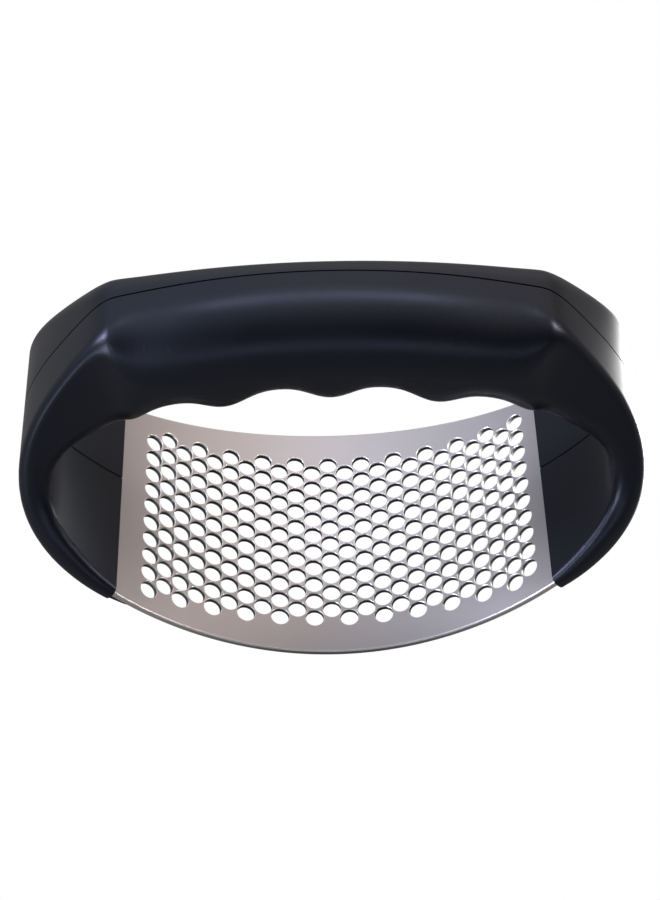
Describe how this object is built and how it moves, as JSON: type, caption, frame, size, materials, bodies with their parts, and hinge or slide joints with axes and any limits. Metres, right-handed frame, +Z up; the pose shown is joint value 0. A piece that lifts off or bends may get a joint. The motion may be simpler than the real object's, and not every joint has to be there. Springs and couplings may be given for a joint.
{
  "type": "garlic press",
  "caption": "Hand-held rocking garlic press: a curved perforated steel plate held in the feet of an arched two-shell plastic handle with finger grooves.",
  "frame": {"origin": "under the middle of the curved plate, at its lowest point, midway between the plate's front and rear edges", "axes": "+X along the grip, +Y from the front shell to the rear shell, +Z up from the board to the grip"},
  "size_m": [0.1238, 0.0572, 0.0817],
  "materials": {
    "handle_plastic": "satin moulded black",
    "plug_plastic": "satin moulded black",
    "stainless_sheet": "satin",
    "zinc_plated_steel": "bright zinc"
  },
  "bodies": {
    "root": {"front_shell": "handle_plastic", "rear_shell": "handle_plastic", "perforated_plate": "stainless_sheet", "assembly_screws": "zinc_plated_steel", "screw_plugs": "plug_plastic"}
  },
  "joints": []
}
